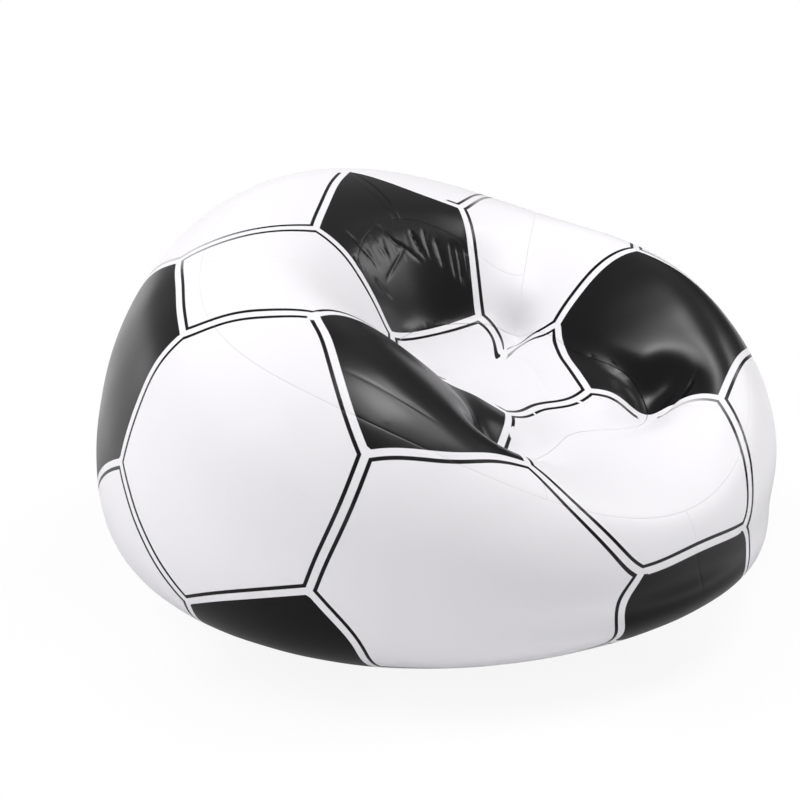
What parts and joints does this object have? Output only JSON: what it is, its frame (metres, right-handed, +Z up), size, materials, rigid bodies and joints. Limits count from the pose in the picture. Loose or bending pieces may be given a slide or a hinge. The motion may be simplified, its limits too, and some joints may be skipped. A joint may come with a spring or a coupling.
{
  "type": "inflatable ball armchair",
  "caption": "Inflatable vinyl armchair shaped like a ball with a seat pressed into it, printed with pentagon and hexagon patches, with a hinged air valve low on the back.",
  "frame": {"origin": "on the floor, under the middle of the chair's overall box", "axes": "+X to the sitter's left, +Y to the back, +Z up; the chair faces -Y"},
  "size_m": [1.0774, 1.0985, 0.6582],
  "materials": {
    "chair_vinyl": "glossy vinyl film, white with a black printed patch pattern",
    "web_vinyl": "plain translucent vinyl film",
    "valve_vinyl": "moulded soft vinyl, satin",
    "flap_vinyl": "thin clear soft vinyl"
  },
  "bodies": {
    "chamber": {"seat_panel": "chair_vinyl", "backrest_panel": "chair_vinyl", "left_back_panel": "chair_vinyl", "right_back_panel": "chair_vinyl", "left_arm_panel": "chair_vinyl", "right_arm_panel": "chair_vinyl", "front_panel": "chair_vinyl", "left_outer_wall": "chair_vinyl", "right_outer_wall": "chair_vinyl", "base_panel": "chair_vinyl", "rear_web": "web_vinyl", "right_web": "web_vinyl", "front_web": "web_vinyl", "left_web": "web_vinyl", "valve_patch": "valve_vinyl", "valve_base": "valve_vinyl"},
    "stopper": {"valve_stopper": "valve_vinyl", "flap_clip": "valve_vinyl"},
    "cap": {"valve_cap": "valve_vinyl"},
    "flap": {"valve_flap": "flap_vinyl"}
  },
  "joints": [
    {"name": "stopper_hinge", "type": "hinge", "parent": "chamber", "child": "stopper", "pos_m": [0.18352, 0.51007, 0.14258], "axis": [-0.9629, 0.2699, 0], "range_deg": [0, 150]},
    {"name": "cap_hinge", "type": "hinge", "parent": "stopper", "child": "cap", "pos_m": [0.18667, 0.52129, 0.1838], "axis": [0.9629, -0.2699, 0], "range_deg": [0, 150]},
    {"name": "flap_hinge", "type": "hinge", "parent": "stopper", "child": "flap", "pos_m": [0.18248, 0.50635, 0.15789], "axis": [0.9629, -0.2699, 0], "range_deg": [0, 60], "stiffness_Nm_per_rad": 0.0005, "springref_deg": -11.46}
  ]
}
